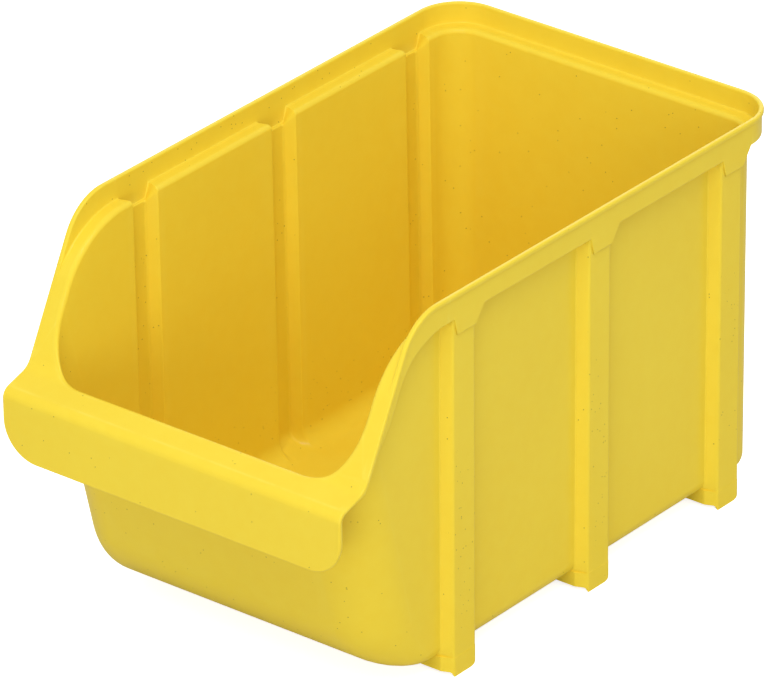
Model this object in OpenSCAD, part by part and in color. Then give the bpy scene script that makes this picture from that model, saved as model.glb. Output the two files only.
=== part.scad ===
// Open-fronted stacking storage bin, one injection moulding with three hollow ribs on each side.
// Millimetres. Origin: centre of the footprint at ground level, +Z up, the open front faces -Y.
// The moulding is cut along its own feature lines into the nodes listed at the end.

/* [Overall] */
// Width over the rim
bin_w = 210; // [150:1:320]
// Length from the front apron to the back of the rim
bin_l = 350; // [250:1:520]
// Height from the feet to the top of the rim
bin_h = 209; // [120:1:320]
// Wall thickness of the moulding
wall_t = 2.8; // [2:0.1:4]
// Underside of the floor above the ground
floor_z = 8.5; // [6:0.5:14]

/* [Rim] */
// How far the rim steps out from the side walls
rim_step = 8.6; // [5:0.1:12]
// Height of the outer face of the rim band
rim_band_h = 14; // [8:0.5:20]
// Plan radius of the rim at the back corners
rim_corner_r = 25; // [12:1:40]
// Height of the bead along the top edge of the rim
bead_h = 2.6; // [1:0.1:4]
// How far the bead stands out from the rim band
bead_out = 0.6; // [0.2:0.1:1.5]
// Where the straight top edge ends and the front curve begins
rim_front_y = -98.5; // [-130:0.5:-60]
// Radius of the top edge where it turns down to the front
rim_front_r = 30; // [15:1:60]
// Steepness of the front slope of the side walls, in degrees
slope_a = 62.5; // [45:0.5:80]

/* [Front lip] */
// Height of the hollow corner where the front slope meets the lip
lip_z = 133.3; // [90:0.1:160]
// Fall of the top of the lip towards the front, in degrees
lip_fall = 16.5; // [0:0.5:30]
// Radius of the hollow corner between slope and lip
lip_in_r = 10; // [4:0.5:20]
// Radius of the nose between lip and apron
lip_nose_r = 6; // [4:0.5:15]
// Height of the lower edge of the apron
apron_z = 92.5; // [60:0.5:110]
// Radius of the two lower corners of the apron
apron_corner_r = 20; // [8:1:35]

/* [Body] */
// Lean of the front wall, in degrees
front_lean = 14; // [0:0.5:25]
// Outer radius between the front wall and the floor
front_sweep_r = 43; // [20:1:70]
// Outer plan radius of the two front corners
front_corner_r = 28; // [12:1:45]
// Outer plan radius of the two back corners
back_corner_r = 17; // [8:1:30]
// Outer radius along the bottom of the sides and the back
bottom_r = 8; // [4:0.5:14]

/* [Ribs and feet] */
// Position of the front rib
rib_y1 = -77.5; // [-95:0.5:-50]
// Distance from one rib to the next
rib_pitch = 106; // [80:0.5:130]
// Width of the outer face of a rib
rib_w = 16.5; // [10:0.5:30]
// How far a rib stands out from the side wall
rib_d = 6.9; // [4:0.1:10]
// Extra width of a rib where it joins the wall, on each side
rib_flare = 3.1; // [0:0.1:6]
// How far the webs of a foot reach in under the floor
foot_reach = 22; // [10:1:40]
// How far the outer web of a foot reaches below the cross webs
foot_edge = 2; // [0.5:0.5:4]
// Depth of the band below the rim where it covers a rib
tab_h = 9; // [4:0.5:16]

/* [Hidden] */
$fn = 96;
hw = bin_w / 2;
y_back = bin_l / 2;
y_front = -bin_l / 2;
skirt_x = hw - bead_out;
skirt_in = skirt_x - 2.2;
wall_x = hw - rim_step;
wall_y = y_back - rim_step;
band_z = bin_h - rim_band_h;
ledge_z = band_z + wall_t;
rib_x = wall_x + rib_d;
big = 600;
rib_ys = [rib_y1, rib_y1 + rib_pitch, rib_y1 + 2 * rib_pitch];
rib_half = rib_w / 2 + rib_flare;
// the slope line starts where the front curve of the top edge ends
slope_y0 = rim_front_y - rim_front_r * sin(slope_a);
slope_z0 = bin_h - rim_front_r + rim_front_r * cos(slope_a);
// hollow corner between slope and lip
corner_y = slope_y0 - (slope_z0 - lip_z) / tan(slope_a);
// the ledge curve is tangent to the same slope line
ledge_r = 50.8;
ledge_top_y = slope_y0 + (ledge_z - slope_z0) / tan(slope_a);
ledge_y = ledge_top_y + ledge_r * tan(slope_a / 2);
ledge_end_y = ledge_y - ledge_r * sin(slope_a);
ledge_end_z = ledge_z - ledge_r + ledge_r * cos(slope_a);
// floor piece limits
floor_x = wall_x - bottom_r;
floor_y = wall_y - bottom_r;
// the flat part of the front ends here, a little before the corner curve
front_x = wall_x - front_corner_r - 1;
// the front wall passes through this point, just under the lip
front_y = corner_y - 4.6;
front_pz = 130;
// centre of the front sweep: at this height it is tangent to the leaning front wall
sweep_z = floor_z + front_sweep_r;
sweep_y = front_y + (front_pz - sweep_z) * tan(front_lean) + front_sweep_r / cos(front_lean);
sweep_top_z = sweep_z - front_sweep_r * sin(front_lean);

// ---------- profiles ----------

// extrudes a Y-Z drawing along X, from x0 to x1
module along_x(x0, x1) {
    translate([x0, 0, 0])
        rotate([90, 0, 90])
            linear_extrude(height = x1 - x0)
                children();
}

// side view of everything under the top edge of the rim, shrunk by s
module rim_side_view(s = 0) {
    translate([rim_front_y, 0]) square([big, bin_h - s]);
    translate([rim_front_y, bin_h - rim_front_r]) circle(r = rim_front_r - s);
    slope_fill(slope_y0, slope_z0, rim_front_r, s);
}

// side view of everything under the ledge, the slope and the lip, shrunk by s
module ledge_side_view(s = 0) {
    translate([ledge_y, 0]) square([big, ledge_z - s]);
    translate([ledge_y, ledge_z - ledge_r]) circle(r = ledge_r - s);
    slope_fill(ledge_end_y, ledge_end_z, ledge_r, s);
    lip_fill(s);
}

// the part of a side view under the front slope; (py, pz) is where a curve of radius r ends on the slope
module slope_fill(py, pz, r, s) {
    qy = py + s * sin(slope_a);
    qz = pz - s * cos(slope_a);
    ey = corner_y + s * sin(slope_a);
    ez = lip_z - s * cos(slope_a);
    polygon([[py + r * sin(slope_a), pz - r * cos(slope_a)], [qy, qz], [ey, ez], [ey, 0],
        [py + r * sin(slope_a), 0]]);
}

// the part of a side view under the lip, with the hollow corner and the rounded nose
module lip_fill(s) {
    nose_r = lip_nose_r - s;
    ny = y_front + lip_nose_r;
    nz = lip_z - (corner_y - ny) * tan(lip_fall) - lip_nose_r / cos(lip_fall);
    half = (slope_a - lip_fall) / 2;
    hr = lip_in_r + s;
    reach = hr * tan(half);
    // crossing of the slope line and the lip line, both shrunk by s
    xa = corner_y + s * (cos(lip_fall) - cos(slope_a)) / sin(slope_a - lip_fall);
    xz = lip_z - (corner_y - xa) * tan(lip_fall) - s / cos(lip_fall);
    difference() {
        union() {
            // under the lip, up to the rounded nose
            polygon([[corner_y + 12, 0], [corner_y + 12, xz], [xa, xz],
                [ny - nose_r * sin(lip_fall), nz + nose_r * cos(lip_fall)], [ny, nz], [ny, 0]]);
            // the nose and the front face below it
            translate([ny, nz]) circle(r = nose_r);
            translate([y_front + s, 0]) square([nose_r + 0.1, nz]);
            // fill that the hollow circle is taken from
            polygon([[xa + reach * cos(slope_a), xz + reach * sin(slope_a)],
                [xa - reach * cos(lip_fall), xz - reach * sin(lip_fall)], [xa + 6, xz - 6]]);
        }
        translate([xa - reach * cos(lip_fall) - hr * sin(lip_fall), xz - reach * sin(lip_fall) + hr * cos(lip_fall)])
            circle(r = hr);
    }
}

// plan view of the body without its front, shrunk by s
module back_plan(s = 0) {
    r = back_corner_r - s;
    x = wall_x - s;
    y = wall_y - s;
    translate([-x, -big]) square([2 * x, big + y - r]);
    translate([-x + r, -big]) square([2 * (x - r), big + y]);
    translate([x - r, y - r]) circle(r = r);
    translate([-x + r, y - r]) circle(r = r);
}

// plan view of the front corners, measured along the lean of the front wall, shrunk by s
module front_plan(s = 0) {
    r = front_corner_r - s;
    x = wall_x - s;
    translate([-x, s + r]) square([2 * x, big]);
    translate([-x + r, s]) square([2 * (x - r), big]);
    translate([x - r, s + r]) circle(r = r);
    translate([-x + r, s + r]) circle(r = r);
}

// end view of the body with rounded bottom edges, shrunk by s
module end_view(s = 0) {
    r = bottom_r;
    x = wall_x - s;
    z = floor_z + s;
    translate([-x, z + r]) square([2 * x, big]);
    translate([-x + r, z]) square([2 * (x - r), big]);
    translate([x - r, z + r]) circle(r = r);
    translate([-x + r, z + r]) circle(r = r);
}

// side view of the body with the front sweep and the rounded bottom edge of the back, shrunk by s
module sweep_view(s = 0) {
    r = front_sweep_r - s;
    y = wall_y - s;
    z = floor_z + s;
    translate([-big, sweep_z - r * sin(front_lean)]) square([2 * big, big]);
    translate([sweep_y, z]) square([y - bottom_r - sweep_y, big]);
    translate([sweep_y, z + bottom_r]) square([y - sweep_y, big]);
    translate([y - bottom_r, z + bottom_r]) circle(r = bottom_r);
    translate([sweep_y, sweep_z]) circle(r = r);
}

// ---------- body ----------

// the body as one solid, shrunk by s; open-ended at the top
module body(s = 0) {
    intersection() {
        linear_extrude(height = big) back_plan(s);
        translate([0, front_y, front_pz])
            rotate([front_lean, 0, 0])
                translate([0, 0, -big])
                    linear_extrude(height = 2 * big) front_plan(s);
        along_x(-hw, hw) sweep_view(s);
        translate([0, big, 0])
            rotate([90, 0, 0])
                linear_extrude(height = 2 * big) end_view(s);
    }
}

// the wall of the body between two corners of a box, below the ledge and the lip
module shell(from, to) {
    intersection() {
        difference() {
            body(0);
            body(wall_t);
        }
        translate(from) cube(to - from);
        along_x(-hw, hw) ledge_side_view(wall_t);
    }
}

module floor_pan() {
    color("gold") shell([-floor_x, sweep_y, 0], [floor_x, floor_y, 30]);
}

module front_sweep() {
    x = front_x;
    color("goldenrod") shell([-x, y_front, 0], [x, sweep_y, sweep_top_z]);
}

module front_wall() {
    x = front_x;
    color("gold") shell([-x, y_front, sweep_top_z], [x, sweep_y, bin_h]);
}

module front_corner_right() {
    x = front_x;
    color("khaki") shell([x, y_front, 0], [hw, sweep_y, bin_h]);
}

module front_corner_left() {
    color("khaki") mirror([1, 0, 0]) front_corner_right();
}

module back_wall() {
    x = wall_x - back_corner_r;
    color("gold") shell([-x, floor_y, 0], [x, y_back, bin_h]);
}

module back_corner_right() {
    x = wall_x - back_corner_r;
    y = wall_y - back_corner_r;
    color("khaki")
        difference() {
            shell([x, y, 0], [hw, y_back, bin_h]);
            translate([-floor_x, y - 1, 0]) cube([2 * floor_x, floor_y - y + 1, 30]);
        }
}

module back_corner_left() {
    mirror([1, 0, 0]) back_corner_right();
}

// a flat length of the right side wall with its rounded bottom edge
module panel(y0, y1) {
    color("gold") shell([floor_x, y0, 0], [hw, y1, bin_h]);
}

module panel_right_1() {
    panel(sweep_y, rib_ys[0] - rib_half);
}

module panel_right_2() {
    panel(rib_ys[0] + rib_half, rib_ys[1] - rib_half);
}

module panel_right_3() {
    panel(rib_ys[1] + rib_half, rib_ys[2] - rib_half);
}

module panel_right_4() {
    panel(rib_ys[2] + rib_half, wall_y - back_corner_r);
}

module panel_left_1() {
    mirror([1, 0, 0]) panel_right_1();
}

module panel_left_2() {
    mirror([1, 0, 0]) panel_right_2();
}

module panel_left_3() {
    mirror([1, 0, 0]) panel_right_3();
}

module panel_left_4() {
    mirror([1, 0, 0]) panel_right_4();
}

// ---------- ribs, feet and tabs ----------

// plan of a right rib, from the floor edge out
module rib_plan() {
    polygon([[floor_x, -rib_half], [wall_x, -rib_half], [rib_x, -rib_w / 2], [rib_x, rib_w / 2],
        [wall_x, rib_half], [floor_x, rib_half]]);
}

// plan of the hollow inside a right rib
module groove_plan() {
    a = rib_w / 2 - wall_t * 0.75;
    b = rib_half - wall_t * 0.75;
    polygon([[floor_x - 1, -b], [wall_x - wall_t, -b], [rib_x - wall_t, -a], [rib_x - wall_t, a],
        [wall_x - wall_t, b], [floor_x - 1, b]]);
}

// a hollow rib; its groove is open to the inside of the bin
module rib(y) {
    r = 6;
    color("orange")
        difference() {
            translate([0, y, floor_z]) linear_extrude(height = band_z - floor_z) rib_plan();
            // straight part of the groove
            translate([0, y, floor_z + wall_t + r]) linear_extrude(height = big) groove_plan();
            // rounded foot of the groove
            intersection() {
                translate([0, y, floor_z]) linear_extrude(height = big) groove_plan();
                translate([rib_x - wall_t - r, y + 50, floor_z + wall_t + r])
                    rotate([90, 0, 0]) cylinder(r = r, h = 100);
            }
            body(wall_t);
        }
}

module rib_right_1() {
    rib(rib_ys[0]);
}

module rib_right_2() {
    rib(rib_ys[1]);
}

module rib_right_3() {
    rib(rib_ys[2]);
}

module rib_left_1() {
    mirror([1, 0, 0]) rib_right_1();
}

module rib_left_2() {
    mirror([1, 0, 0]) rib_right_2();
}

module rib_left_3() {
    mirror([1, 0, 0]) rib_right_3();
}

// a foot under a rib: an outer web that carries the bin, and two cross webs under the floor
module foot(y) {
    x0 = rib_x - foot_reach;
    w = rib_w / 2;
    color("darkorange") {
        translate([rib_x - wall_t, y - w, 0]) cube([wall_t, rib_w, floor_z]);
        translate([x0, y - w, foot_edge]) cube([foot_reach - wall_t, wall_t, floor_z - foot_edge]);
        translate([x0, y + w - wall_t, foot_edge]) cube([foot_reach - wall_t, wall_t, floor_z - foot_edge]);
    }
}

module foot_right_1() {
    foot(rib_ys[0]);
}

module foot_right_2() {
    foot(rib_ys[1]);
}

module foot_right_3() {
    foot(rib_ys[2]);
}

module foot_left_1() {
    mirror([1, 0, 0]) foot_right_1();
}

module foot_left_2() {
    mirror([1, 0, 0]) foot_right_2();
}

module foot_left_3() {
    mirror([1, 0, 0]) foot_right_3();
}

// the rim band steps down over the head of each rib
module tab(y) {
    w = rib_w / 2;
    color("yellow")
        difference() {
            along_x(wall_x, skirt_x)
                polygon([[y - w, band_z], [y - w + 2.6, band_z - tab_h], [y + w, band_z - tab_h],
                    [y + w + 6.5, band_z]]);
            translate([0, y, 0]) linear_extrude(height = big) rib_plan();
        }
}

module tab_right_1() {
    tab(rib_ys[0]);
}

module tab_right_2() {
    tab(rib_ys[1]);
}

module tab_right_3() {
    tab(rib_ys[2]);
}

module tab_left_1() {
    mirror([1, 0, 0]) tab_right_1();
}

module tab_left_2() {
    mirror([1, 0, 0]) tab_right_2();
}

module tab_left_3() {
    mirror([1, 0, 0]) tab_right_3();
}

// ---------- rim, ledge and lip ----------

// plan of the rim with rounded back corners, s inside its outermost line
module rim_plan(s = 0) {
    r = rim_corner_r - s;
    x = hw - s;
    y = y_back - s;
    translate([-x, -big]) square([2 * x, big + y - r]);
    translate([-x + r, -big]) square([2 * (x - r), big + y]);
    translate([x - r, y - r]) circle(r = r);
    translate([-x + r, y - r]) circle(r = r);
}

// the upright band of the rim, right side, straight length
module rim_right() {
    y0 = ledge_y;
    y1 = y_back - rim_corner_r;
    color("yellow") {
        translate([skirt_in, y0, band_z]) cube([skirt_x - skirt_in, y1 - y0, rim_band_h]);
        translate([skirt_x, y0, bin_h - bead_h]) cube([bead_out, y1 - y0, bead_h]);
    }
}

module rim_left() {
    mirror([1, 0, 0]) rim_right();
}

// the upright band across the back with both rounded corners
module rim_back() {
    y0 = y_back - rim_corner_r;
    color("yellow")
        intersection() {
            union() {
                translate([0, 0, band_z])
                    linear_extrude(height = rim_band_h)
                        difference() {
                            rim_plan(bead_out);
                            rim_plan(hw - skirt_in);
                        }
                translate([0, 0, bin_h - bead_h])
                    linear_extrude(height = bead_h)
                        difference() {
                            rim_plan(0);
                            rim_plan(bead_out);
                        }
            }
            translate([-hw, y0, 0]) cube([bin_w, rim_corner_r, bin_h]);
        }
}

// hollows of the three right ribs, taken out of the ledge
module groove_cut() {
    for (y = rib_ys)
        translate([0, y, 0]) linear_extrude(height = big) groove_plan();
}

// the ledge between the inside of the wall and the rim band, right side
module ledge_right() {
    y1 = y_back - rim_corner_r;
    color("khaki")
        difference() {
            translate([wall_x - wall_t, ledge_y, band_z])
                cube([skirt_in - wall_x + wall_t, y1 - ledge_y, wall_t]);
            groove_cut();
        }
}

module ledge_left() {
    mirror([1, 0, 0]) ledge_right();
}

module ledge_back() {
    y0 = y_back - rim_corner_r;
    color("khaki")
        intersection() {
            translate([0, 0, band_z])
                linear_extrude(height = wall_t)
                    difference() {
                        rim_plan(hw - skirt_in);
                        back_plan(wall_t);
                    }
            translate([-hw, y0, 0]) cube([bin_w, rim_corner_r, bin_h]);
        }
}

// side view of the sheet that forms the ledge, the slope, the lip and the apron
module sheet_view() {
    difference() {
        ledge_side_view(0);
        ledge_side_view(wall_t);
    }
}

// right edge of the opening from the end of the straight rim down to the lip
module slope_flange_right() {
    color("khaki") {
        difference() {
            along_x(wall_x - front_corner_r, hw)
                intersection() {
                    sheet_view();
                    translate([corner_y, 0]) square([ledge_y - corner_y, big]);
                }
            body(wall_t);
        }
        // the upright band dies out along the curve
        along_x(skirt_in, skirt_x)
            difference() {
                intersection() {
                    rim_side_view(0);
                    translate([corner_y, lip_z]) square([ledge_y - corner_y, big]);
                }
                ledge_side_view(0);
            }
        along_x(skirt_x, hw)
            difference() {
                intersection() {
                    rim_side_view(0);
                    translate([corner_y, lip_z]) square([ledge_y - corner_y, big]);
                }
                rim_side_view(bead_h);
                ledge_side_view(0);
            }
    }
}

module slope_flange_left() {
    mirror([1, 0, 0]) slope_flange_right();
}

// top of the lip with the rounded nose, from side to side
module front_lip() {
    z0 = lip_z - (corner_y - y_front) * tan(lip_fall) - lip_nose_r;
    color("yellow")
        difference() {
            along_x(-hw, hw)
                intersection() {
                    sheet_view();
                    translate([y_front, z0]) square([corner_y - y_front, big]);
                }
            body(wall_t);
        }
}

// the apron that hangs down in front, with rounded lower corners
module front_apron() {
    z1 = lip_z - (corner_y - y_front) * tan(lip_fall) - lip_nose_r;
    r = apron_corner_r;
    color("gold")
        translate([0, y_front + wall_t, 0])
            rotate([90, 0, 0])
                linear_extrude(height = wall_t)
                    intersection() {
                        translate([-hw, apron_z]) square([bin_w, z1 - apron_z]);
                        union() {
                            translate([-hw, apron_z + r]) square([bin_w, big]);
                            translate([-hw + r, apron_z]) square([bin_w - 2 * r, big]);
                            translate([hw - r, apron_z + r]) circle(r = r);
                            translate([-hw + r, apron_z + r]) circle(r = r);
                        }
                    }
}

floor_pan();
front_sweep();
front_wall();
front_corner_left();
front_corner_right();
back_wall();
back_corner_left();
back_corner_right();
panel_left_1();
panel_left_2();
panel_left_3();
panel_left_4();
panel_right_1();
panel_right_2();
panel_right_3();
panel_right_4();
rib_left_1();
rib_left_2();
rib_left_3();
rib_right_1();
rib_right_2();
rib_right_3();
foot_left_1();
foot_left_2();
foot_left_3();
foot_right_1();
foot_right_2();
foot_right_3();
tab_left_1();
tab_left_2();
tab_left_3();
tab_right_1();
tab_right_2();
tab_right_3();
rim_left();
rim_right();
rim_back();
ledge_left();
ledge_right();
ledge_back();
slope_flange_left();
slope_flange_right();
front_lip();
front_apron();
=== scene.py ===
"""Open-fronted stacking bin: one yellow moulding with hollow ribs, a stepped rim and a grip lip.

The moulding is built as a sheet with two skins. Columns run round the bin from the centre of the
front to the centre of the back, levels run up the wall and out over the ledge, and a rounded edge
closes the two skins along every free edge. The sheet is then cut along its feature lines into one
closed piece per feature.
"""

import logging
import math
from dataclasses import dataclass, field
from enum import Enum
from typing import Callable, Optional, TypeVar, Union

import bmesh
import bpy
import numpy as np
from mathutils import Matrix, Vector


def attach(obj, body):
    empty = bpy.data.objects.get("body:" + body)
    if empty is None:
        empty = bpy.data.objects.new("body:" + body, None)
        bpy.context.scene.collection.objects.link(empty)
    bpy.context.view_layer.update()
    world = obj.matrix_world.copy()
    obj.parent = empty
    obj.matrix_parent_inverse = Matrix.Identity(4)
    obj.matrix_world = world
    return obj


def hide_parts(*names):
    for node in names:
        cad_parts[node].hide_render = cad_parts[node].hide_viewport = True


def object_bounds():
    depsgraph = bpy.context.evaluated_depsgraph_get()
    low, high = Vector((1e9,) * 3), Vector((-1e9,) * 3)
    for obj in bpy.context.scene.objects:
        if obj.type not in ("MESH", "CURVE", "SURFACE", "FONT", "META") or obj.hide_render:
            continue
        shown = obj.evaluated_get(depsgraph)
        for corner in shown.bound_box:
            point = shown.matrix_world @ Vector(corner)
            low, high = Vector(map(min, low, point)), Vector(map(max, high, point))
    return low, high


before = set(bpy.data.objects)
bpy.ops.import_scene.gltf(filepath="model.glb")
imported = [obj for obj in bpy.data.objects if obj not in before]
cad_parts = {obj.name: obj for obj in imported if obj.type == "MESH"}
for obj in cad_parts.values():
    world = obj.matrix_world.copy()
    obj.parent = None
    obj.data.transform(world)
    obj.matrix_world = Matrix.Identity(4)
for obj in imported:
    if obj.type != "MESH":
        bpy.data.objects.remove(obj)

CAD_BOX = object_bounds()
LOG = logging.getLogger("stacking_bin")
MM = 0.001
RIGHT_ANGLE = 0.5 * math.pi

Number = TypeVar("Number", float, np.ndarray)
Socket = bpy.types.NodeSocket
Value = Union[float, bpy.types.NodeSocket]
Colour = tuple[float, float, float]


class Skin(Enum):
    """The two faces of the moulded wall."""

    OUTER = 0
    INNER = 1


class Hand(Enum):
    """Which side of the bin a piece is on."""

    RIGHT = "right"
    LEFT = "left"
    BOTH = "both"


@dataclass(frozen=True)
class BinSizes:
    """Sizes of the bin in millimetres, taken from the box of the fixed frame where it gives them."""

    half_width: float
    y_front: float
    y_back: float
    rim_z: float
    # thickness of the walls and the floor, of the sloping flange and of the lip
    wall: float = 2.8
    flange_t: float = 3.3
    lip_t: float = 2.9
    floor_z: float = 8.5
    ledge_z: float = 197.8
    # section of the rim band and its bead
    rim_face: float = 2.8
    rim_corner_r: float = 25.0
    rim_low_r: float = 0.8
    rim_top_r: float = 0.95
    bead_out: float = 0.9
    bead_h: float = 2.6
    lip_bead: float = 0.25
    # insets at which the free edges join the skins: along the front and the slope, then outside
    # and inside along the rim, each for a wall and for a rib
    edge_in: float = 3.5
    out_join: tuple[float, float] = (3.0, 1.5)
    in_join: tuple[float, float] = (4.1, 3.4)
    # radii at the outer and the inner end of the ledge, each for a wall and for a rib
    ledge_root_r: tuple[float, float] = (0.8, 0.5)
    ledge_fillet_r: tuple[float, float] = (2.3, 0.9)
    # half width of the body below and above, and the height over which it opens out
    wall_x_low: float = 95.8
    wall_x_high: float = 97.0
    draft_h: float = 190.0
    # side view of the rim, the ledge, the slope, the hollow corner and the lip
    rim_curve_y: float = -98.5
    rim_curve_r: float = 30.0
    ledge_curve_r: float = 50.8
    slope: float = math.radians(62.5)
    slope_band_h: float = 6.8
    hollow_y: float = -156.1
    hollow_z: float = 133.3
    hollow_r: float = 10.0
    lip_fall: float = math.radians(16.5)
    lip_flat: float = 67.0
    lip_side_y: tuple[float, ...] = (-167.0, -163.5)
    nose_r: float = 6.0
    apron_z: float = 92.5
    apron_corner_r: float = 20.0
    # leaning front wall, its sweep into the floor and the front corner
    lean: float = math.radians(14.0)
    lean_y: float = -160.7
    lean_z: float = 130.0
    sweep_r: float = 43.0
    corner_r: float = 28.0
    corner_gap: float = 1.2
    corner_ease: float = 9.0
    fan_degrees: float = 56.0
    # rounded bottom edge, outside and inside, and where it crosses a rib
    bottom_r: float = 8.0
    bottom_r_in: float = 10.0
    rib_bottom_r: float = 0.9
    rib_bottom_r_in: float = 7.0
    # ribs, the tabs over them and the step of the ledge across them
    rib_y: tuple[float, ...] = (-77.5, 28.5, 134.5)
    rib_half_out: float = 8.25
    rib_half_in: float = 6.15
    rib_flare: float = 3.1
    rib_depth: float = 6.2
    rib_run: float = 12.6
    rib_foot_r: float = 0.8
    rib_edge_r: float = 1.7
    tab_drop: float = 9.0
    tab_rear: float = 14.75
    tab_lead: float = 2.6
    tab_trail: float = 6.5
    shelf_drop: float = 7.5

    @property
    def sweep_z(self) -> float:
        """Height of the centre of the front sweep."""
        return self.floor_z + self.sweep_r

    @property
    def sweep_y(self) -> float:
        """Depth of the centre of the front sweep."""
        return (self.lean_y + (self.lean_z - self.sweep_z) * math.tan(self.lean)
                + self.sweep_r / math.cos(self.lean))


def smooth(x: float) -> float:
    """Ease from 0 to 1 as x goes from 0 to 1."""
    x = min(max(x, 0.0), 1.0)
    return x * x * (3.0 - 2.0 * x)


def mix(a: Number, b: Number, t: float) -> Number:
    """Straight blend of two numbers or arrays."""
    return a + (b - a) * t


def unit(way: np.ndarray) -> np.ndarray:
    """The same direction with a length of 1."""
    return way / np.linalg.norm(way)


def slant(way: np.ndarray, along: np.ndarray, least: float) -> float:
    """How much longer a step gets on a way that runs aslant to a line, at most 1 / least."""
    return 1.0 / max(math.sqrt(1 - float(np.clip(way @ along, -1, 1)) ** 2), least)


def quarter(x: float, y: float, r: float, start: int, turn: int, spans: int) -> list[tuple[float, float]]:
    """Points of a quarter circle.

    Args:
        x: first coordinate of its centre.
        y: second coordinate of its centre.
        r: its radius.
        start: where it starts, in quarter turns.
        turn: 1 for anticlockwise, -1 for clockwise.
        spans: how many spans it has.

    Returns:
        spans + 1 points.
    """
    angles = [(start + turn * k / spans) * RIGHT_ANGLE for k in range(spans + 1)]
    return [(x + r * math.cos(a), y + r * math.sin(a)) for a in angles]


def bisect(fn: Callable[[float], float], lo: float, hi: float) -> float:
    """Find where a function changes sign.

    Args:
        fn: function of one number, with opposite signs at lo and hi.
        lo: lower end of the search.
        hi: upper end of the search.

    Returns:
        The place where the sign changes.
    """
    low_sign = fn(lo) > 0.0
    for _ in range(48):
        mid = 0.5 * (lo + hi)
        if (fn(mid) > 0.0) == low_sign:
            lo = mid
        else:
            hi = mid
    return 0.5 * (lo + hi)


def rounded_path(points: list[tuple[float, float]], radii: list[float], steps: int) -> np.ndarray:
    """Round the inner corners of an open path in a plane.

    Args:
        points: corners of the path.
        radii: one radius for each corner between the two ends.
        steps: how many spans each arc has.

    Returns:
        The rounded path, one row per point, both ends included.
    """
    pts = [np.array(p, float) for p in points]
    out = [pts[0]]
    for i, r in enumerate(radii, start=1):
        a, b, c = pts[i - 1], pts[i], pts[i + 1]
        u, w = unit(a - b), unit(c - b)
        half = 0.5 * math.acos(float(np.clip(u @ w, -1, 1)))
        reach = r / math.tan(half)
        out.extend(conic(b + u * reach, b, b + w * reach, math.sin(half), steps))
    out.append(pts[-1])
    return np.array(out)


def conic(p0: np.ndarray, p1: np.ndarray, p2: np.ndarray, weight: float, steps: int) -> list[np.ndarray]:
    """Points on a conic arc from p0 to p2 that is tangent to the lines to p1.

    Args:
        p0: start of the arc.
        p1: where the two end tangents meet.
        p2: end of the arc.
        weight: 1 gives a parabola, the sine of half the corner angle gives a circle.
        steps: how many spans the arc has.

    Returns:
        steps + 1 points.
    """
    out = []
    for k in range(steps + 1):
        t = k / steps
        a, b, c = (1 - t) ** 2, 2 * weight * t * (1 - t), t * t
        out.append((a * p0 + b * p1 + c * p2) / (a + b + c))
    return out


def put_in_scene(name: str, data: bpy.types.ID) -> bpy.types.Object:
    """Make an object and link it to the scene.

    Args:
        name: name of the object.
        data: its mesh, light or camera.

    Returns:
        The new object.
    """
    obj = bpy.data.objects.new(name, data)
    bpy.context.scene.collection.objects.link(obj)
    return obj


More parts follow.
